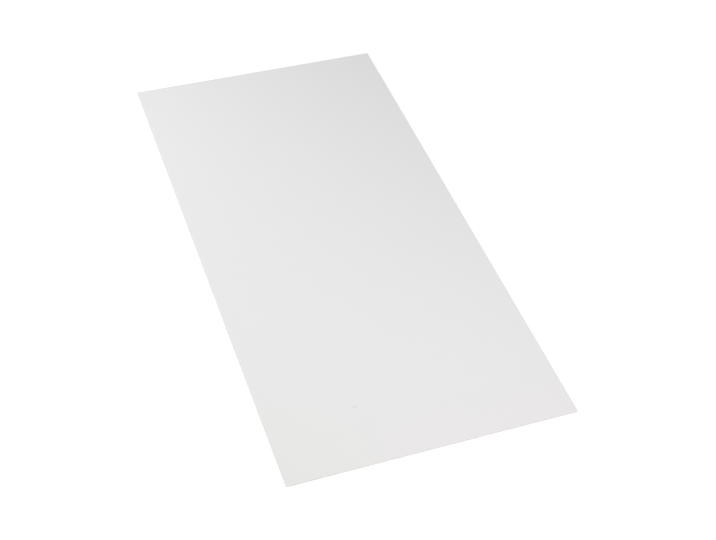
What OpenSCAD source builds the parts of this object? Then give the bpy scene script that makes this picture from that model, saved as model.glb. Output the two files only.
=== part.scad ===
// White-faced poplar plywood sheet, lying flat with its coated face up.
//
// The sheet is one piece of stock: thin veneers glued crosswise, coated on
// the upper face and then sawn to size. Its thickness is worked out from
// that lay-up, and the whole sheet is one solid.
//
// The origin is the centre of the underside. +X runs along the length,
// which is also the way the grain of both faces runs, +Y runs across the
// width, and +Z points up out of the coated face. Sizes are in millimetres.

/* [Sheet] */
// Length of the sheet, along the face grain
sheet_length = 2500; // [600:10:3100]
// Width of the sheet, across the face grain
sheet_width = 1220; // [300:10:1850]

/* [Lay-up] */
// Number of veneers, odd so that the grain of both faces runs the same way
ply_count = 3; // [3:2:11]
// Thickness of one veneer after pressing and sanding
ply_thickness = 0.95; // [0.8:0.05:2]
// Thickness of the white coat on the upper face
coat_thickness = 0.15; // [0.05:0.05:0.4]

/* [Edges] */
// Radius to which handling has worn each corner of the outline
corner_radius = 1; // [0.5:0.5:20]
// Width of the flat sanded along each sawn edge, where it meets a face
arris = 0.2; // [0.05:0.05:0.4]

/* [Hidden] */

$fn = 64;
coat_white = [0.91, 0.91, 0.91];
sheet_thickness = ply_count * ply_thickness + coat_thickness;

// Half of the sheet's section: from the middle out to a sawn edge that is
// reach away, with an arris at the underside and one at the coated face.
module half_section(reach) {
    polygon([
        [0, 0],
        [reach - arris, 0],
        [reach, arris],
        [reach, sheet_thickness - arris],
        [reach - arris, sheet_thickness],
        [0, sheet_thickness],
    ]);
}

// A bar of the sheet's section, width across and length long, along Y.
module bar(width, length) {
    rotate([90, 0, 0])
        linear_extrude(height = length, center = true)
            union() {
                half_section(width / 2);
                mirror([1, 0])
                    half_section(width / 2);
            }
}

// The round corner of the outline: the same section turned about the
// corner's centre, so that both arrises run on round it.
module corner() {
    rotate_extrude()
        half_section(corner_radius);
}

module plywood_sheet() {
    straight_length = sheet_length - 2 * corner_radius;
    straight_width = sheet_width - 2 * corner_radius;

    color(coat_white)
        union() {
            bar(sheet_length, straight_width);
            rotate([0, 0, 90])
                bar(sheet_width, straight_length);
            for (x = [-1, 1], y = [-1, 1])
                translate([x * straight_length / 2, y * straight_width / 2, 0])
                    corner();
        }
}

plywood_sheet();
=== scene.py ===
import math

import bpy
import numpy as np
from bpy.props import FloatProperty, FloatVectorProperty, IntProperty, PointerProperty
from mathutils import Matrix, Vector


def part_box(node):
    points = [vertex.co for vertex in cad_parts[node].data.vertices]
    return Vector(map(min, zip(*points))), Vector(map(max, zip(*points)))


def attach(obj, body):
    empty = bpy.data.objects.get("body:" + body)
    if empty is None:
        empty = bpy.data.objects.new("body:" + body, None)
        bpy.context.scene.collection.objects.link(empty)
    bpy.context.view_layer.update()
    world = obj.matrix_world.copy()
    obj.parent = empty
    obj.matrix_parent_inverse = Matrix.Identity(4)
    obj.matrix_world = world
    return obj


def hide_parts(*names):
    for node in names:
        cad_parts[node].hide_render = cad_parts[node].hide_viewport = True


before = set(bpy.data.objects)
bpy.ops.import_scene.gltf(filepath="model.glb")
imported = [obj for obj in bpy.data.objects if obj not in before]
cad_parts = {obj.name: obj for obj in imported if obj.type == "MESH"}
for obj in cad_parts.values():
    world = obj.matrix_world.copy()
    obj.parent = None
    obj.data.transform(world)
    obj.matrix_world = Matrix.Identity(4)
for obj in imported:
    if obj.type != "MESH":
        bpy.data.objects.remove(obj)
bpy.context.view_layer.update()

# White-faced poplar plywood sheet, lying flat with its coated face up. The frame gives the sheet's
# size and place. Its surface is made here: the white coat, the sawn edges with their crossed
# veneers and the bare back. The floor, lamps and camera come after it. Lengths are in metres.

bl_info = {
    "name": "Poplar Plywood Sheet",
    "version": (1, 0, 0),
    "blender": (4, 5, 0),
    "location": "View3D > Sidebar > Plywood",
    "description": "Dresses a white-faced poplar plywood sheet and lights it on a pale floor",
    "category": "Add Mesh",
}

NODE = "plywood_sheet"
SURFACE = "dressed_sheet"
MM = 0.001

SHEET_LOW, SHEET_HIGH = (np.array(corner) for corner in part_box(NODE))
SHEET_SIZE = SHEET_HIGH - SHEET_LOW
FACE_MIDDLE = np.array([*(SHEET_LOW + SHEET_HIGH)[:2] / 2, SHEET_HIGH[2]])


def worn_corners():
    """(arris, corner radius) of the sheet, measured on the frame.

    The flat upper face stops one arris short of the sheet's end, and the straight part of a long
    side stops one corner radius short of it."""
    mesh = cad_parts[NODE].data
    points = np.empty(len(mesh.vertices) * 3)
    mesh.vertices.foreach_get("co", points)
    points = points.reshape(-1, 3)
    near = 0.001 * MM  # more than the mesh's rounding, less than a corner's first step inwards
    upper_face = points[points[:, 2] > SHEET_HIGH[2] - near]
    long_side = points[points[:, 1] > SHEET_HIGH[1] - near]
    return tuple(SHEET_HIGH[0] - found[:, 0].max() for found in (upper_face, long_side))


ARRIS, CORNER_RADIUS = worn_corners()


# ---------------------------------------------------------------------------------------------
# Settings
# ---------------------------------------------------------------------------------------------


class PlywoodSheetSettings(bpy.types.PropertyGroup):
    """The sheet's lay-up, its sawn edges, its colours and its marks"""

    ply_count: IntProperty(
        name="Plies", description="Number of veneers, odd so that both faces' grain runs alike",
        default=3, min=3, max=11,
    )
    coat: FloatProperty(
        name="Coat", description="Thickness of the white coat on the upper face",
        default=0.15 * MM, min=0.05 * MM, max=0.4 * MM, unit="LENGTH",
    )
    glue: FloatProperty(
        name="Glue line", description="Height of the line between two veneers",
        default=0.06 * MM, min=0.02 * MM, max=0.2 * MM, unit="LENGTH",
    )
    glue_stray: FloatProperty(
        name="Glue stray", description="How far a glue line strays up and down along the sheet",
        default=0.06 * MM, min=0.0, max=0.15 * MM, unit="LENGTH",
    )
    end_grain_tear: FloatProperty(
        name="End grain tear", description="Depth to which the saw tears fibres that it crosses",
        default=0.08 * MM, min=0.0, max=0.2 * MM, unit="LENGTH",
    )
    long_grain_tear: FloatProperty(
        name="Long grain tear", description="Depth to which the saw tears fibres that it follows",
        default=0.03 * MM, min=0.0, max=0.2 * MM, unit="LENGTH",
    )
    coat_colour: FloatVectorProperty(
        name="White coat", description="Colour of the coated face",
        default=(0.780, 0.780, 0.780), size=3, min=0.0, max=1.0, subtype="COLOR",
    )
    rosy_colour: FloatVectorProperty(
        name="Rosy coat", description="Colour of the coat along the end at -X",
        default=(0.786, 0.771, 0.778), size=3, min=0.0, max=1.0, subtype="COLOR",
    )
    rosy_reach: FloatProperty(
        name="Rosy reach", description="How far the rosy colour reaches in from the end at -X",
        default=0.2, min=0.0, max=1.0, unit="LENGTH",
    )
    yellowed_colour: FloatVectorProperty(
        name="Yellowed coat", description="Colour of the coat round the -X, +Y corner",
        default=(0.780, 0.780, 0.764), size=3, min=0.0, max=1.0, subtype="COLOR",
    )
    yellowed_reach: FloatProperty(
        name="Yellowed reach", description="How far the yellowed colour reaches from that corner",
        default=0.36, min=0.0, max=1.0, unit="LENGTH",
    )
    scuff_place: FloatVectorProperty(
        name="Scuff", description="Middle of the small scuff, from the middle of the coated face",
        default=(-0.962, 0.235), size=2, unit="LENGTH",
    )
    scuff_length: FloatProperty(
        name="Scuff length", description="Length of the scuff, which is half as wide",
        default=34 * MM, min=1 * MM, max=200 * MM, unit="LENGTH",
    )
    scuff_bearing: FloatProperty(
        name="Scuff bearing", description="Way from the scuff's dark end to its faint end",
        default=math.radians(-70), subtype="ANGLE",
    )
    veneer_colour: FloatVectorProperty(
        name="Veneer", description="Colour of bare poplar seen along the grain",
        default=(0.78, 0.72, 0.61), size=3, min=0.0, max=1.0, subtype="COLOR",
    )
    heartwood_colour: FloatVectorProperty(
        name="Heartwood", description="Colour of the greener streaks in the veneer",
        default=(0.62, 0.58, 0.47), size=3, min=0.0, max=1.0, subtype="COLOR",
    )
    end_grain_colour: FloatVectorProperty(
        name="End grain", description="Colour of poplar cut across the grain",
        default=(0.70, 0.63, 0.52), size=3, min=0.0, max=1.0, subtype="COLOR",
    )
    glue_colour: FloatVectorProperty(
        name="Glue", description="Colour of the glue between the veneers",
        default=(0.50, 0.42, 0.32), size=3, min=0.0, max=1.0, subtype="COLOR",
    )


class PlywoodStageSettings(bpy.types.PropertyGroup):
    """The floor, the lamps and the camera, placed from the middle of the upper face"""

    floor_side: FloatProperty(
        name="Floor", description="Side of the square floor",
        default=40.0, min=5.0, unit="LENGTH",
    )
    floor_albedo: FloatProperty(
        name="Floor albedo", description="Share of the light on it that the floor gives back",
        default=0.9, min=0.0, max=1.0, subtype="FACTOR",
    )
    floor_glow: FloatProperty(
        name="Floor glow", description="White that the floor adds, to the eye alone, at the sheet",
        default=0.19, min=0.0, max=1.0, subtype="FACTOR",
    )
    lamp_reach: FloatProperty(
        name="Lamp reach", description="Distance beyond which the lamps hardly light the floor",
        default=5.0, min=1.0, unit="LENGTH",
    )
    ceiling: FloatProperty(
        name="Ceiling", description="Brightness of the ceiling, where that of the white walls is 1",
        default=0.12, min=0.0, max=1.0, subtype="FACTOR",
    )
    wall_height: FloatProperty(
        name="Wall height", description="Height above the horizon of the top of the white walls",
        default=math.radians(38), min=0.0, max=math.radians(90), subtype="ANGLE",
    )
    lamp_side: FloatProperty(
        name="Lamp side", description="Side of each square soft lamp",
        default=1.5, min=0.1, unit="LENGTH",
    )
    side_lamp_place: FloatVectorProperty(
        name="Side lamp", description="Place of the lamp beside the sheet",
        default=(1.73, 2.09, 2.80), size=3, unit="LENGTH",
    )
    side_lamp_power: FloatProperty(
        name="Side lamp power", description="Power of the lamp beside the sheet",
        default=54.2, min=0.0, unit="POWER",
    )
    end_lamp_place: FloatVectorProperty(
        name="End lamp", description="Place of the lamp beyond the near end",
        default=(-1.99, -0.51, 3.25), size=3, unit="LENGTH",
    )
    end_lamp_power: FloatProperty(
        name="End lamp power", description="Power of the lamp beyond the near end",
        default=54.8, min=0.0, unit="POWER",
    )
    view_bearing: FloatProperty(
        name="Bearing", description="Bearing of the camera round the sheet, 0 looking along +Y",
        default=math.radians(-112.14), subtype="ANGLE",
    )
    view_elevation: FloatProperty(
        name="Elevation", description="Height of the camera above the horizon",
        default=math.radians(45.00), subtype="ANGLE",
    )
    view_roll: FloatProperty(
        name="Roll", description="How far the camera is tipped about its own axis",
        default=math.radians(3.81), subtype="ANGLE",
    )
    view_distance: FloatProperty(
        name="Distance", description="Distance from the camera to the point that it aims at",
        default=5.828, min=0.5, unit="LENGTH",
    )
    view_aim: FloatVectorProperty(
        name="Aim", description="Point of the upper face that the camera aims at",
        default=(-0.245, -0.031), size=2, unit="LENGTH",
    )
    lens: FloatProperty(
        name="Lens", description="Focal length of the camera",
        default=67.06, min=10.0, unit="CAMERA",
    )


# ---------------------------------------------------------------------------------------------
# The shape of the sheet's surface
# ---------------------------------------------------------------------------------------------

# The finishes, in the order of the surface's material slots
COAT, BACK, LONG_GRAIN, END_GRAIN, GLUE = range(5)

CELLS = (50, 24)  # cells of a flat face along X and along Y
STEPS = 12  # columns of the sawn edge to each cell
CORNER_STEPS = 6  # columns round each corner
ROW_HEIGHT = 0.2 * MM  # of the sawn edge, at most

TEAR_WAVE = 0.02  # length of the waves in which the saw tears deeper and less deep
LONG_STRAY, SHORT_STRAY = 0.35, 0.06  # lengths of the waves in which the glue lines stray

MAP_GAP = 0.006  # between the parts of the surface's map, as a share of its side
MAP_STRIP = 0.036  # height of a sawn edge's strip on the map
# The strip of each side of the sheet, in the order of the outline: (its number from below, its
# start across the map, its width), the last two as shares of the map's side
MAP_STRIPS = ((0, 0.0, 1.0), (2, 0.0, 0.5), (1, 0.0, 1.0), (2, 0.5, 0.5))


def outline():
    """The path of the sawn edge, as (base, out) with a row for each of its columns.

    The base runs counter-clockwise round the rectangle of the four corner arcs' centres, from the
    side at -Y on. It waits at each centre while the outward direction, out, turns through a quarter
    of a circle. The point of the outline is base + corner radius * out."""
    reach = SHEET_SIZE[:2] / 2 - CORNER_RADIUS
    quarter = math.pi / 2
    bases, outs = [], []
    for side in range(4):
        steps = CELLS[side % 2] * STEPS
        bearing = (side - 1) * quarter
        facing = np.array([math.cos(bearing), math.sin(bearing)])
        along = np.array([-facing[1], facing[0]])
        run = np.append(np.arange(steps) / steps * 2 - 1, np.ones(CORNER_STEPS))
        turn = np.append(np.zeros(steps), np.arange(CORNER_STEPS) / CORNER_STEPS * quarter)
        bases.append((facing + along * run[:, None]) * reach)
        outs.append(np.stack([np.cos(bearing + turn), np.sin(bearing + turn)], axis=1))
    return np.concatenate(bases) + FACE_MIDDLE[:2], np.concatenate(outs)


def distances(base, out):
    """(distance of each column along the outline, length from it to the next column)."""
    path = base + CORNER_RADIUS * out
    step = np.linalg.norm(np.roll(path, -1, axis=0) - path, axis=1)
    return np.cumsum(step) - step, step


def slow_wave(run, length, wave, seed):
    """A smooth wave between -1 and 1 that closes on itself after a length: random heights about
    one wave apart, four of them or more, each joined to the next by half a cosine."""
    knots = max(round(length / wave), 4)
    heights = np.random.default_rng(seed).uniform(-1, 1, knots)
    place = run / length * knots
    before = place.astype(int) % knots
    ease = (1 - np.cos(math.pi * (place % 1))) / 2
    return heights[before] * (1 - ease) + heights[(before + 1) % knots] * ease


def lay_up(settings):
    """The layers from the underside up, as (height of each top, finishes of each sawn edge).

    A layer's two finishes are what it shows on the ends and what it shows on the long sides. The
    grain runs along X in the first veneer and turns by a quarter in each one after it. A glue line
    takes half its height from each veneer that it joins, and the coat lies on the last veneer."""
    ply = (SHEET_SIZE[2] - settings.coat) / settings.ply_count
    tops, finishes = [], []
    for number in range(1, settings.ply_count + 1):
        veneer = (END_GRAIN, LONG_GRAIN) if number % 2 else (LONG_GRAIN, END_GRAIN)
        tops += [number * ply - settings.glue / 2, number * ply + settings.glue / 2]
        finishes += [veneer, (GLUE, GLUE)]
    tops[-2:] = [SHEET_SIZE[2] - settings.coat, SHEET_SIZE[2]]
    finishes[-1] = (COAT, COAT)
    return np.array(tops), np.array(finishes)


def finishes_at(settings, heights, out):
    """The finish that the sawn edge shows at each height, for each outward direction."""
    tops, finishes = lay_up(settings)
    on_long_side = np.abs(out[:, 0]) < np.abs(out[:, 1])
    return finishes[np.searchsorted(tops, heights)[:, None], on_long_side.astype(int)]


def row_heights(settings):
    """(height of each row of points on the sawn edge, whether the row is whole).

    The whole rows are those on the arrises and on the borders of the layers, which the saw doesn't
    tear. The others divide what lies between them evenly, and are at most a row height apart."""
    thickness = SHEET_SIZE[2]
    tops, _ = lay_up(settings)
    whole = np.unique(np.round([0, ARRIS, thickness - ARRIS, *tops], 7))  # equal ones count once
    counts = np.ceil(np.diff(whole) / ROW_HEIGHT).astype(int)
    place = np.append(0, np.repeat(1 / counts, counts).cumsum())
    return np.interp(place, np.arange(len(whole)), whole), np.isclose(place, np.round(place))


def edge_points(settings, base, out):
    """The sawn edge, a profile carried along the outline, as one row of points for each height.

    A point is base + (corner radius - depth) * out. Its depth is that of the arris, a flat at 45
    degrees to both faces, plus what the saw tore out of its veneer. Neither is ever negative, so
    no point leaves the sheet. The heights between the arrises stray up and down in slow waves,
    which grow over a quarter of the thickness from nothing at each arris."""
    thickness = SHEET_SIZE[2]
    run, step = distances(base, out)
    length = step.sum()
    heights, whole = row_heights(settings)

    deepest = np.zeros(len(FINISHES))
    deepest[[END_GRAIN, LONG_GRAIN]] = settings.end_grain_tear, settings.long_grain_tear
    bite = 0.7 + 0.3 * slow_wave(run, length, TEAR_WAVE, seed=13)
    torn = deepest[finishes_at(settings, heights, out)] * bite * ~whole[:, None]
    torn *= np.random.default_rng(7).random(torn.shape)

    room = np.clip((np.minimum(heights, thickness - heights) - ARRIS) / (thickness / 4), 0, 1)
    stray = 0.7 * slow_wave(run, length, LONG_STRAY, seed=11)
    stray += 0.3 * slow_wave(run, length, SHORT_STRAY, seed=12)
    z = heights[:, None] + settings.glue_stray * room[:, None] * stray
    depth = np.maximum(ARRIS - np.minimum(z, thickness - z), 0) + torn
    plan = base + (CORNER_RADIUS - depth[:, :, None]) * out
    return np.concatenate([plan, z[:, :, None] + SHEET_LOW[2]], axis=2)


def edge_faces(rows, columns):
    """The four corners of each face between two rows of the sawn edge, which closes on itself."""
    low = np.arange(rows)[:, None] * columns + np.arange(columns)
    after = np.roll(low, -1, axis=1)
    return np.stack([low, after, after + columns, low + columns], axis=2).reshape(-1, 4)


def edge_map(rows, run, step):
    """The sawn edge's places on the map, four corners to a face.

    Each side of the sheet, with the corner after it, is a strip: the distance along it goes across,
    and the rows go up in equal steps. The two long sides have a strip each, and the two ends share
    the third."""
    places = []
    start = 0
    for side, (strip, across, width) in enumerate(MAP_STRIPS):
        count = CELLS[side % 2] * STEPS + CORNER_STEPS
        columns = slice(start, start + count)
        start += count
        left = run[columns] - run[columns][0]
        right = left + step[columns]
        share = np.stack([left, right, right, left], axis=1) / right[-1]
        level = (np.arange(rows)[:, None, None] + np.array([0, 0, 1, 1])) / rows
        u = MAP_GAP + across + share * (width - 2 * MAP_GAP)
        v = MAP_GAP + strip * (MAP_STRIP + MAP_GAP) + level * MAP_STRIP
        places.append(np.stack(np.broadcast_arrays(u, v), axis=3))
    return np.concatenate(places, axis=1).reshape(-1, 2)


def flat_grid(z):
    """The points inside a flat face, where the lines between its cells cross."""
    reach = SHEET_SIZE[:2] / 2 - CORNER_RADIUS
    x, y = (np.linspace(-far, far, cells + 1)[1:-1] for far, cells in zip(reach, CELLS))
    x, y = np.meshgrid(x + FACE_MIDDLE[0], y + FACE_MIDDLE[1], indexing="ij")
    return np.stack([x, y, np.full(x.shape, z)], axis=2)


def flat_faces(rim, grid):
    """The faces of a flat face, counter-clockwise from above.

    rim numbers the outline's points, and grid numbers the points inside. A face among grid points
    has four corners. One beside a straight side takes all the rim points along its cell, and one at
    a corner takes those of both its sides and of the arc between them."""
    inner = np.stack([grid[:-1, :-1], grid[1:, :-1], grid[1:, 1:], grid[:-1, 1:]], axis=2)
    faces = inner.reshape(-1, 4).tolist()
    start = 0
    for side in range(4):
        end = start + CELLS[side % 2] * STEPS
        near = np.rot90(grid, -side)[:, 0]
        along = np.lib.stride_tricks.sliding_window_view(rim[start:end + 1], STEPS + 1)[::STEPS]
        faces += np.column_stack([along[1:-1], near[1:], near[:-1]]).tolist()
        start = end + CORNER_STEPS
        arc = rim[np.arange(end - STEPS, start + STEPS + 1) % len(rim)]
        faces.append([*arc.tolist(), int(near[-1])])
    return faces


def flat_map(points, level, mirrored):
    """A flat face's places on the map: the sheet's length goes across and its width goes up.

    Level 0 is the lower half, and level 1 the upper half, of what the strips leave free."""
    bottom = 4 * MAP_GAP + 3 * MAP_STRIP
    height = (1 - bottom - 2 * MAP_GAP) / 2
    u, v = ((points[:, axis] - SHEET_LOW[axis]) / SHEET_SIZE[axis] for axis in (0, 1))
    v = 1 - v if mirrored else v
    across = MAP_GAP + u * (1 - 2 * MAP_GAP)
    return np.stack([across, bottom + level * (height + MAP_GAP) + v * height], axis=1)


def sheet_mesh(settings):
    """The closed surface of the sheet: the sawn edge, then the bare back, then the coated face."""
    base, out = outline()
    edge = edge_points(settings, base, out)
    rows, columns = len(edge) - 1, len(base)
    back, face = flat_grid(SHEET_LOW[2]), flat_grid(SHEET_HIGH[2])
    points = np.concatenate([part.reshape(-1, 3) for part in (edge, back, face)])

    inside = edge.size // 3 + np.arange(back.size // 3).reshape(back.shape[:2])
    back_faces = [corners[::-1] for corners in flat_faces(np.arange(columns), inside)]
    face_faces = flat_faces(rows * columns + np.arange(columns), inside + inside.size)
    faces = edge_faces(rows, columns).tolist() + back_faces + face_faces

    heights, _ = row_heights(settings)
    sawn = finishes_at(settings, (heights[1:] + heights[:-1]) / 2, out + np.roll(out, -1, axis=0))
    flat = np.repeat([BACK, COAT], [len(back_faces), len(face_faces)])
    finishes = np.append(sawn, flat)

    mesh = bpy.data.meshes.new(SURFACE)
    mesh.from_pydata(points, [], faces)
    mesh.polygons.foreach_set("material_index", finishes.astype(np.int32))
    mesh.shade_smooth()
    mesh.set_sharp_from_angle(angle=math.radians(30))

    # The faces' corners come in the same order: four to each face of the sawn edge, then those of
    # the back, and then as many of the coated face.
    corners = np.empty(len(mesh.loops), np.int32)
    mesh.loops.foreach_get("vertex_index", corners)
    on_back, on_face = np.split(points[corners[rows * columns * 4:]], 2)
    places = np.concatenate([
        edge_map(rows, *distances(base, out)),
        flat_map(on_back, 0, mirrored=True),
        flat_map(on_face, 1, mirrored=False),
    ])
    mesh.uv_layers.new(name="OFBake").data.foreach_set("uv", places.ravel())
    return mesh


# ---------------------------------------------------------------------------------------------
# Finishes
# ---------------------------------------------------------------------------------------------

AGED_BORDER = 0.2  # width of the borders between the coat's whites, and how far they wander
RINGS = 24.0  # growth rings to a unit of height of the wave that they follow
CRACK_WAVE = 800.0  # radians to the metre of the wave that cracks follow, for one every 4 mm or so
CRACK_LEAN = -1.1  # how far a crack leans along the edge, as a share of its height
SAW_LEAN = 0.4  # how far a saw mark leans, likewise


class Nodes:
    """The nodes of a material or of the world, in the making"""

    def __init__(self, owner, shader_type):
        owner.use_nodes = True
        self.tree = owner.node_tree
        self.shader = next(node for node in self.tree.nodes if node.type == shader_type)

    def add(self, kind, inputs=(), **settings):
        """Adds a node with the given inputs, by name or number, and the given settings."""
        node = self.tree.nodes.new(kind)
        for name, value in settings.items():
            setattr(node, name, value)
        for name, value in dict(inputs).items():
            self.feed(node.inputs[name], value)
        return node

    def feed(self, socket, value):
        """Joins a node's output to the socket, or sets the socket to a number or a colour."""
        if isinstance(value, bpy.types.NodeSocket):
            self.tree.links.new(value, socket)
        else:
            socket.default_value = value

    def math(self, operation, *values):
        """The result of a sum on up to three numbers."""
        return self.add("ShaderNodeMath", enumerate(values), operation=operation).outputs[0]

    def axis(self, place, name):
        """A place's own number on the axis X, Y or Z."""
        return self.add("ShaderNodeSeparateXYZ", {"Vector": place}).outputs[name]


class Finish(Nodes):
    """A material in the making, with its patterns worked out from the place on the object"""

    def __init__(self, name):
        self.material = bpy.data.materials.new(name)
        super().__init__(self.material, "BSDF_PRINCIPLED")
        self.place = self.add("ShaderNodeTexCoord").outputs["Object"]

    def away_from(self, point):
        """The distance from a point."""
        inputs = enumerate((self.place, point))
        return self.add("ShaderNodeVectorMath", inputs, operation="DISTANCE").outputs["Value"]

    def edge_place(self, lean=0.0):
        """A place on a sawn edge, as the distance along it and the height.

        On each straight side one of X and Y stays the same, so that the distance is X + Y, and a
        lean times the height is added to it."""
        inputs = enumerate((self.place, (1.0, 1.0, lean)))
        along = self.add("ShaderNodeVectorMath", inputs, operation="DOT_PRODUCT").outputs["Value"]
        height = self.axis(self.place, "Z")
        return self.add("ShaderNodeCombineXYZ", {"X": along, "Y": height}).outputs[0]

    def noise(self, waves, detail=2.0, roughness=0.5, place=None):
        """Noise between 0 and 1, with about so many waves to a unit of the place on each axis."""
        place = self.place if place is None else place
        scaled = self.add("ShaderNodeMapping", {"Vector": place, "Scale": waves}).outputs[0]
        inputs = {"Vector": scaled, "Scale": 1.0, "Detail": detail, "Roughness": roughness}
        return self.add("ShaderNodeTexNoise", inputs).outputs[0]

    def ease(self, value, low, high, start=0.0, end=1.0):
        """Eases from start, where the value is low or less, to end, where it is high or more."""
        inputs = {"Value": value, "From Min": low, "From Max": high, "To Min": start, "To Max": end}
        return self.add("ShaderNodeMapRange", inputs, interpolation_type="SMOOTHSTEP").outputs[0]

    def tone(self, *parts):
        """A brightness round 1: each (pattern, share) adds its share of what it is above a half."""
        total = 1 - sum(share for _, share in parts) / 2
        for pattern, share in parts:
            total = self.math("MULTIPLY_ADD", pattern, share, total)
        return total

    def mix(self, factor, one, other):
        """A colour from one, at a factor of 0, to other, at a factor of 1."""
        inputs = {0: factor, 4: one, 5: other}  # the numbers of the node's factor and vectors
        return self.add("ShaderNodeMix", inputs, data_type="VECTOR").outputs[1]

    def shade(self, colour, tone):
        """A colour made lighter or darker by a tone."""
        inputs = {0: colour, "Scale": tone}
        return self.add("ShaderNodeVectorMath", inputs, operation="SCALE").outputs[0]

    def complete(self, colour, roughness, height, relief):
        """Gives the shader a colour, a roughness and a bump: a height times a relief in metres."""
        bump = self.add("ShaderNodeBump", {"Height": height, "Distance": relief})
        self.feed(self.shader.inputs["Base Color"], colour)
        self.feed(self.shader.inputs["Roughness"], roughness)
        self.feed(self.shader.inputs["Normal"], bump.outputs[0])
        return self.material


def aged_white(coat, settings):
    """The white of the coat, which has turned a little rosy along the end at -X, and a little
    yellow round the corner at its +Y side. Slow noise makes both borders wander."""
    wander = coat.noise((5.0, 5.0, 5.0))
    from_end = coat.math("SUBTRACT", coat.axis(coat.place, "X"), SHEET_LOW[0])
    from_corner = coat.away_from((SHEET_LOW[0], SHEET_HIGH[1], SHEET_HIGH[2]))
    colour = settings.coat_colour
    for away, reach, aged in (
        (from_end, settings.rosy_reach, settings.rosy_colour),
        (from_corner, settings.yellowed_reach, settings.yellowed_colour),
    ):
        border = coat.math("MULTIPLY_ADD", wander, AGED_BORDER, away)
        share = coat.ease(border, reach, reach + AGED_BORDER, start=1.0, end=0.0)
        colour = coat.mix(share, colour, aged)
    return colour


def scuff_mark(coat, settings):
    """The small scuff, 1 where it is dark and 0 off it: an ellipse of fine scratches along its
    length, with a border roughened by noise, which fades from its dark end to its faint end."""
    half = settings.scuff_length / 2
    own_place = coat.add("ShaderNodeMapping", {
        "Vector": coat.place,
        "Location": FACE_MIDDLE + np.array([*settings.scuff_place, 0.0]),
        "Rotation": (0.0, 0.0, settings.scuff_bearing),
        "Scale": (half, half / 2, half),
    }, vector_type="TEXTURE").outputs[0]
    away = coat.add("ShaderNodeVectorMath", {0: own_place}, operation="LENGTH").outputs["Value"]
    border = coat.math("MULTIPLY_ADD", coat.noise((150.0, 150.0, 150.0)), 0.8, away)
    fade = coat.ease(coat.axis(own_place, "X"), -0.6, 1.0, start=1.0, end=0.2)
    scratches = coat.ease(coat.noise((2.0, 14.0, 1.0), place=own_place), 0.30, 0.65, start=0.45)
    rubbed = coat.math("MULTIPLY", coat.ease(border, 0.7, 1.6, start=1.0, end=0.0), scratches)
    return coat.math("MULTIPLY", rubbed, fade)


def white_coat(settings):
    """The satin white coat: nearly even, with the veneer's grain just telling through it, a fine
    orange peel, a faint cloudiness and one small scuff."""
    coat = Finish("white_coat")
    grain = coat.noise((5.0, 240.0, 5.0), detail=3.0)
    cloud = coat.noise((2.5, 5.0, 1.0))
    peel = coat.noise((600.0, 600.0, 600.0), detail=1.0)
    scuff = scuff_mark(coat, settings)
    tone = coat.math("MULTIPLY_ADD", scuff, -0.14, coat.tone((grain, 0.006), (cloud, 0.008)))
    dullness = coat.tone((coat.noise((14.0, 40.0, 14.0)), 0.3), (scuff, 0.4))
    texture = coat.math("MULTIPLY_ADD", grain, 0.6, peel)
    return coat.complete(
        colour=coat.shade(aged_white(coat, settings), tone),
        roughness=coat.math("MULTIPLY", dullness, 0.55),
        height=coat.math("MULTIPLY_ADD", scuff, -0.3, texture),
        relief=0.07 * MM,
    )


def growth_rings(back):
    """The growth rings on a peeled face, from 0 in a ring's first wood to 1 in its last.

    They are the contour lines of a slow wave that is drawn out along the grain, and fine noise
    feathers them. Each ring darkens up to its last wood, and the next one starts pale."""
    rise = back.noise((0.30, 2.6, 1.0), roughness=0.35)
    feather = back.noise((6.0, 160.0, 6.0), detail=3.0)
    height = back.math("MULTIPLY_ADD", feather, 0.3, back.math("MULTIPLY", rise, RINGS))
    return back.ease(back.math("FRACT", height), 0.3, 1.0)


def bare_veneer(settings):
    """Rotary-cut poplar, as peeled and sanded: growth rings, with fine fibres, short pores and
    greener streaks."""
    back = Finish("bare_veneer")
    rings = growth_rings(back)
    fibres = back.noise((7.0, 800.0, 7.0))
    bands = back.noise((0.6, 9.0, 1.0))
    pores = back.ease(back.noise((30.0, 900.0, 30.0), detail=1.0), 0.62, 0.72)
    heart = back.ease(back.noise((0.22, 1.7, 1.0), detail=3.0), 0.52, 0.72, end=0.55)
    wood = back.mix(heart, settings.veneer_colour, settings.heartwood_colour)
    tone = back.tone((rings, -0.085), (fibres, 0.12), (bands, 0.10), (pores, -0.10))
    return back.complete(
        colour=back.shade(wood, tone),
        roughness=back.math("MULTIPLY_ADD", fibres, 0.12, 0.66),
        height=back.math("MULTIPLY_ADD", pores, -1.5, fibres),
        relief=0.03 * MM,
    )


def saw_marks(edge):
    """The marks of the saw's teeth: fine ridges that cross the whole edge, leaning a little."""
    return edge.noise((650.0, 8.0, 1.0), detail=1.0, place=edge.edge_place(SAW_LEAN))


def bare_wood(edge, colour, settings):
    """A wood's colour, which drifts along the edge and turns a little towards the heartwood's."""
    drift = edge.ease(edge.noise((1.3, 1.3, 1.3)), 0.35, 0.75, end=0.35)
    return edge.mix(drift, colour, settings.heartwood_colour)


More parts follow.
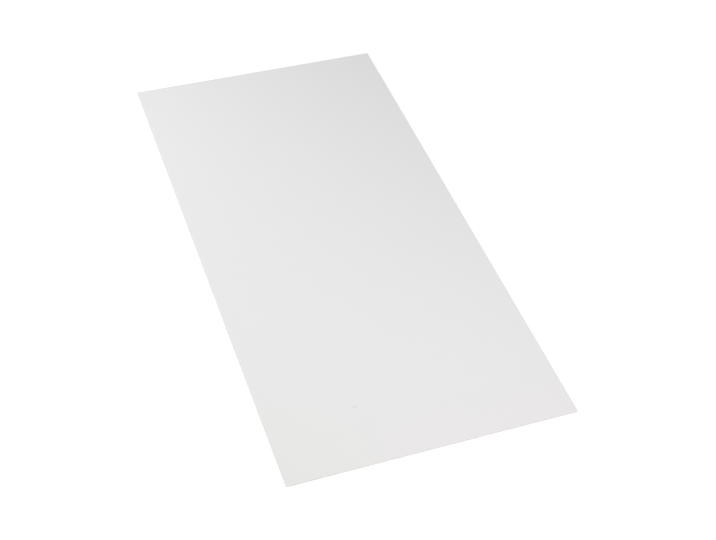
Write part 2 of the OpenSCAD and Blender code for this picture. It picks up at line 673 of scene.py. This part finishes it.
def long_grain(settings):
    """A veneer sawn along its grain: fine threads and dark vessel lines that run along the edge,
    under the saw's marks."""
    edge = Finish("long_grain_edge")
    on_edge = edge.edge_place()
    threads = edge.noise((30.0, 5000.0, 1.0), detail=3.0, place=on_edge)
    vessels = edge.ease(edge.noise((160.0, 9000.0, 1.0), detail=1.0, place=on_edge), 0.60, 0.70)
    saw = saw_marks(edge)
    scorch = edge.noise((4.0, 4.0, 4.0))
    tone = edge.tone((threads, 0.28), (vessels, -0.14), (saw, 0.10), (scorch, 0.10))
    return edge.complete(
        colour=edge.shade(bare_wood(edge, settings.veneer_colour, settings), tone),
        roughness=edge.math("MULTIPLY_ADD", threads, 0.15, 0.70),
        height=edge.math("ADD", edge.math("MULTIPLY_ADD", vessels, -0.6, threads), saw),
        relief=0.03 * MM,
    )


def knife_cracks(edge, on_edge):
    """The short cracks that the peeling knife left in a veneer, 1 in a crack and 0 off it.

    They are where a leaning wave passes through zero. Slow noise shifts the wave, and a second
    noise breaks the cracks off and leaves out most of them."""
    leaning = edge.edge_place(CRACK_LEAN)
    shift = edge.math("MULTIPLY", edge.noise((60.0, 200.0, 1.0), place=on_edge), 6.0)
    angle = edge.math("MULTIPLY_ADD", edge.axis(leaning, "X"), CRACK_WAVE, shift)
    wave = edge.math("SINE", angle)
    line = edge.ease(edge.math("ABSOLUTE", wave), 0.012, 0.045, start=1.0, end=0.0)
    kept = edge.ease(edge.noise((150.0, 600.0, 1.0), detail=1.0, place=leaning), 0.48, 0.60)
    return edge.math("MULTIPLY", line, kept)


def end_grain(settings):
    """A veneer sawn across its grain: flat growth rings, fine pores, rays from face to face and
    the knife's cracks, under the saw's marks."""
    edge = Finish("end_grain_edge")
    on_edge = edge.edge_place()
    pores = edge.noise((6500.0, 6500.0, 1.0), place=on_edge)
    rings = edge.noise((20.0, 2600.0, 1.0), detail=1.0, place=on_edge)
    rays = edge.noise((2600.0, 160.0, 1.0), detail=1.0, place=on_edge)
    saw = saw_marks(edge)
    scorch = edge.noise((4.0, 4.0, 4.0))
    cracks = knife_cracks(edge, on_edge)
    tone = edge.tone((pores, 0.26), (rings, 0.16), (rays, 0.20), (saw, 0.12), (scorch, 0.12))
    return edge.complete(
        colour=edge.shade(
            bare_wood(edge, settings.end_grain_colour, settings),
            edge.math("MULTIPLY_ADD", cracks, -0.4, tone),
        ),
        roughness=edge.math("MULTIPLY_ADD", pores, 0.15, 0.80),
        height=edge.math("MULTIPLY_ADD", cracks, -1.0, edge.math("ADD", pores, saw)),
        relief=0.04 * MM,
    )


def glue_line(settings):
    """The glue that the saw has cut through, darker and a little smoother than the wood, and
    lighter where it has soaked away."""
    line = Finish("glue_line")
    lumps = line.noise((500.0, 500.0, 2000.0))
    soaked = line.ease(line.noise((70.0, 70.0, 70.0)), 0.5, 0.7, end=0.6)
    colour = line.mix(soaked, settings.glue_colour, settings.end_grain_colour)
    return line.complete(
        colour=line.shade(colour, line.tone((lumps, 0.4))),
        roughness=line.math("MULTIPLY_ADD", lumps, 0.2, 0.45),
        height=lumps,
        relief=0.02 * MM,
    )


FINISHES = {
    COAT: white_coat,
    BACK: bare_veneer,
    LONG_GRAIN: long_grain,
    END_GRAIN: end_grain,
    GLUE: glue_line,
}


# ---------------------------------------------------------------------------------------------
# Stage
# ---------------------------------------------------------------------------------------------


def ambient(settings):
    """The share of white that the surround throws on a level surface: walls up to an angle above
    the horizon count for the square of its sine, and the ceiling for the rest."""
    walls = math.sin(settings.wall_height) ** 2
    return walls + (1 - walls) * settings.ceiling


def seen_directly(nodes):
    """1 for what the eye sees, straight or in a reflection or through glass, and 0 for the light
    that matt surfaces gather."""
    ray = nodes.add("ShaderNodeLightPath").outputs
    seen = nodes.math("MAXIMUM", ray["Is Camera Ray"], ray["Is Glossy Ray"])
    return nodes.math("MAXIMUM", seen, ray["Is Transmission Ray"])


def pale_floor(settings):
    """The floor, matt and pale, so that it takes light and shadow.

    To the eye it also glows, a little at the sheet, and from there to the lamps' reach more and
    more: by as much as the floor falls short of white where only the ambient light falls on it."""
    floor = Finish("pale_floor")
    speckle = floor.noise((40.0, 40.0, 40.0))
    colour = floor.shade((settings.floor_albedo,) * 3, floor.tone((speckle, 0.01)))
    away = floor.away_from(FACE_MIDDLE)
    missing = 1 - settings.floor_albedo * ambient(settings)
    glow = floor.ease(away, 0.0, settings.lamp_reach, start=settings.floor_glow, end=missing)
    shader = floor.shader.inputs
    floor.feed(shader["Emission Strength"], floor.math("MULTIPLY", seen_directly(floor), glow))
    floor.feed(shader["Specular IOR Level"], 0.0)
    floor.material.cycles.emission_sampling = "NONE"
    return floor.complete(colour, roughness=0.9, height=speckle, relief=0.1 * MM)


def white_surround(settings):
    """The world, as white walls under a dimmer ceiling. Looked at, it is white all over. It isn't
    sampled as a lamp, so that every ray that meets it gets the strength for its own kind."""
    world = bpy.data.worlds.new("white_surround")
    world.cycles.sampling_method = "NONE"
    nodes = Nodes(world, "BACKGROUND")
    height = nodes.axis(nodes.add("ShaderNodeTexCoord").outputs["Generated"], "Z")
    is_wall = nodes.math("LESS_THAN", height, math.sin(settings.wall_height))
    is_white = nodes.math("MAXIMUM", seen_directly(nodes), is_wall)
    inputs = {"Value": is_white, "To Min": settings.ceiling, "To Max": 1.0}
    strength = nodes.add("ShaderNodeMapRange", inputs).outputs[0]
    nodes.feed(nodes.shader.inputs["Color"], (1.0, 1.0, 1.0, 1.0))
    nodes.feed(nodes.shader.inputs["Strength"], strength)
    return world


def floor_mesh(settings):
    """A level square under the sheet, its corners half a side away from the middle on both axes."""
    corners = np.array([(-1, -1), (1, -1), (1, 1), (-1, 1)]) * settings.floor_side / 2
    points = np.column_stack([corners + FACE_MIDDLE[:2], np.full(4, SHEET_LOW[2])])
    mesh = bpy.data.meshes.new("floor")
    mesh.from_pydata(points, [], [range(4)])
    return mesh


def soft_lamp(name, place, power, side):
    """A square lamp at a place given from the middle of the upper face, aimed at that middle."""
    data = bpy.data.lights.new(name, "AREA")
    data.shape = "SQUARE"
    data.size = side
    data.energy = power
    lamp = bpy.data.objects.new(name, data)
    turn = Vector(place).to_track_quat("Z", "Y").to_matrix().to_4x4()
    lamp.matrix_world = Matrix.Translation(Vector(FACE_MIDDLE) + Vector(place)) @ turn
    lamp.visible_camera = False
    return lamp


def camera_matrix(settings):
    """The camera's turn and place, from its bearing, elevation, roll, distance and aim."""
    bearing, elevation = settings.view_bearing, settings.view_elevation
    level = math.cos(elevation)
    back = Vector((math.sin(bearing) * level, -math.cos(bearing) * level, math.sin(elevation)))
    right = Vector((math.cos(bearing), math.sin(bearing), 0.0))
    turn = Matrix((right, back.cross(right), back)).transposed()
    turn = turn @ Matrix.Rotation(settings.view_roll, 3, "Z")
    aim = Vector(FACE_MIDDLE) + Vector((*settings.view_aim, 0.0))
    return Matrix.Translation(aim + back * settings.view_distance) @ turn.to_4x4()


# ---------------------------------------------------------------------------------------------
# Operators and panel
# ---------------------------------------------------------------------------------------------


class PLYWOOD_OT_dress_sheet(bpy.types.Operator):
    """Replace the plain sheet with its dressed surface: coat, sawn edges and bare back"""

    bl_idname = "plywood.dress_sheet"
    bl_label = "Dress Sheet"

    def execute(self, context):
        settings = context.scene.plywood_sheet
        sheet = bpy.data.objects.new(SURFACE, sheet_mesh(settings))
        context.scene.collection.objects.link(sheet)
        for slot in sorted(FINISHES):
            sheet.data.materials.append(FINISHES[slot](settings))
        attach(sheet, "root")
        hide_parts(NODE)
        return {"FINISHED"}


class PLYWOOD_OT_set_stage(bpy.types.Operator):
    """Lay the pale floor, hang the two soft lamps and place the camera"""

    bl_idname = "plywood.set_stage"
    bl_label = "Set Stage"

    def execute(self, context):
        settings = context.scene.plywood_stage
        scene = context.scene
        floor = bpy.data.objects.new("floor", floor_mesh(settings))
        floor.data.materials.append(pale_floor(settings))
        camera = bpy.data.objects.new("camera", bpy.data.cameras.new("camera"))
        camera.data.lens = settings.lens
        camera.matrix_world = camera_matrix(settings)
        lamps = [
            soft_lamp(name, place, power, settings.lamp_side)
            for name, place, power in (
                ("side_lamp", settings.side_lamp_place, settings.side_lamp_power),
                ("end_lamp", settings.end_lamp_place, settings.end_lamp_power),
            )
        ]
        for thing in (floor, camera, *lamps):
            scene.collection.objects.link(thing)
        scene.camera = camera
        scene.world = white_surround(settings)
        scene.view_settings.view_transform = "Standard"
        return {"FINISHED"}


class PLYWOOD_PT_sidebar(bpy.types.Panel):
    """Lists the settings of the sheet and of the stage, each with its operator"""

    bl_idname = "PLYWOOD_PT_sidebar"
    bl_label = "Plywood Sheet"
    bl_space_type = "VIEW_3D"
    bl_region_type = "UI"
    bl_category = "Plywood"

    def draw(self, context):
        for settings, operator in (
            (context.scene.plywood_sheet, PLYWOOD_OT_dress_sheet),
            (context.scene.plywood_stage, PLYWOOD_OT_set_stage),
        ):
            box = self.layout.box()
            for name in settings.__annotations__:
                box.prop(settings, name)
            box.operator(operator.bl_idname)


CLASSES = (
    PlywoodSheetSettings,
    PlywoodStageSettings,
    PLYWOOD_OT_dress_sheet,
    PLYWOOD_OT_set_stage,
    PLYWOOD_PT_sidebar,
)


def register():
    """Adds the classes, and their settings to every scene."""
    for made in CLASSES:
        bpy.utils.register_class(made)
    bpy.types.Scene.plywood_sheet = PointerProperty(type=PlywoodSheetSettings)
    bpy.types.Scene.plywood_stage = PointerProperty(type=PlywoodStageSettings)


def unregister():
    """Takes the settings and the classes away again."""
    del bpy.types.Scene.plywood_stage
    del bpy.types.Scene.plywood_sheet
    for made in reversed(CLASSES):
        bpy.utils.unregister_class(made)


def main():
    """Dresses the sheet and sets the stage."""
    register()
    bpy.ops.plywood.dress_sheet()
    bpy.ops.plywood.set_stage()


if __name__ == "__main__":
    main()
